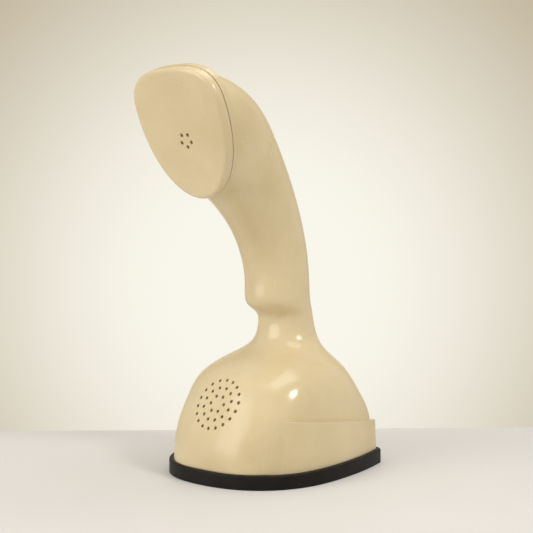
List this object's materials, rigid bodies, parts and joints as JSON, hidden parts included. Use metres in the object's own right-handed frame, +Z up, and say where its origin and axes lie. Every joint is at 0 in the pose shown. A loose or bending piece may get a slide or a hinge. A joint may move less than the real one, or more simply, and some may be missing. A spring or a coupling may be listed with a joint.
{
  "type": "corded landline phone",
  "caption": "One-piece standing telephone: domed base with microphone holes, curved handle, tilted ear cap, rotary dial and hook-switch button underneath.",
  "frame": {"origin": "on the surface that the foot ring stands on, under the middle of the whole telephone", "axes": "+Z up the handle, -Y towards the microphone and the ear cap, +X to the right seen from the front"},
  "size_m": [0.0982, 0.1371, 0.2174],
  "materials": {
    "ivory_shell": "glossy moulded",
    "black_rubber": "satin",
    "black_plastic": "satin",
    "red_button": "glossy",
    "steel": "brushed",
    "brass": "satin",
    "copper_winding": "enamelled",
    "green_board": "laminate",
    "white_face": "satin",
    "aluminium": "satin"
  },
  "bodies": {
    "telephone": {"base_plate": "black_plastic", "base_screws": "steel", "board_pillars": "steel", "board_screws": "steel", "call_sounder_case": "black_plastic", "call_sounder_diaphragm": "brass", "capacitor": "aluminium", "circuit_board": "green_board", "cord_grommet": "black_rubber", "dial_frame": "steel", "dial_screws": "steel", "ear_cap": "ivory_shell", "ear_gasket": "black_rubber", "finger_stop": "steel", "foot_ring": "black_rubber", "frame_posts": "steel", "governor_cup": "brass", "handle_leads": "black_plastic", "hook_contacts": "black_plastic", "hook_return_spring": "steel", "housing": "ivory_shell", "impulse_contacts": "black_plastic", "induction_coil_core": "steel", "induction_coil_winding": "copper_winding", "mainspring": "steel", "microphone_bracket": "steel", "microphone_carbon_chamber": "brass", "microphone_case": "aluminium", "microphone_diaphragm": "aluminium", "microphone_front_plate": "aluminium", "microphone_gasket": "black_rubber", "microphone_screws": "steel", "number_ring": "white_face", "receiver_bracket": "steel", "receiver_case": "aluminium", "receiver_coil": "copper_winding", "receiver_diaphragm": "aluminium", "receiver_magnet": "steel", "receiver_screws": "steel", "receiver_terminals": "brass", "resistors": "black_plastic", "terminal_block": "black_plastic", "upper_frame_plate": "steel"},
    "dial": {"finger_wheel": "ivory_shell", "dial_shaft": "brass", "main_gear": "brass"},
    "intermediate_shaft": {"intermediate_gear": "brass", "impulse_cam": "black_plastic"},
    "governor": {"governor_spindle": "brass", "governor_weights": "brass"},
    "hook_plunger": {"hook_button": "red_button"}
  },
  "joints": [
    {"name": "dial_turn", "type": "hinge", "parent": "telephone", "child": "dial", "pos_m": [0, 0.01, 0.004], "axis": [0, 0, 1], "range_deg": [0, 325], "stiffness_Nm_per_rad": 0.008, "springref_deg": -57.3},
    {"name": "intermediate_turn", "type": "hinge", "parent": "telephone", "child": "intermediate_shaft", "pos_m": [-0.018, 0.01, 0.015], "axis": [0, 0, 1], "range_deg": [-1310, 10]},
    {"name": "governor_turn", "type": "hinge", "parent": "telephone", "child": "governor", "pos_m": [-0.01477, 0.02207, 0.015], "axis": [0, 0, 1], "range_deg": [-10, 5210]},
    {"name": "hook_travel", "type": "slide", "parent": "telephone", "child": "hook_plunger", "axis": [0, 0, -1], "range_m": [0, 0.005], "stiffness_N_per_m": 120, "springref_m": 0.012}
  ],
  "couplings": [
    {"joint": "intermediate_turn", "follows": "dial_turn", "ratio": -4},
    {"joint": "governor_turn", "follows": "dial_turn", "ratio": 16}
  ]
}
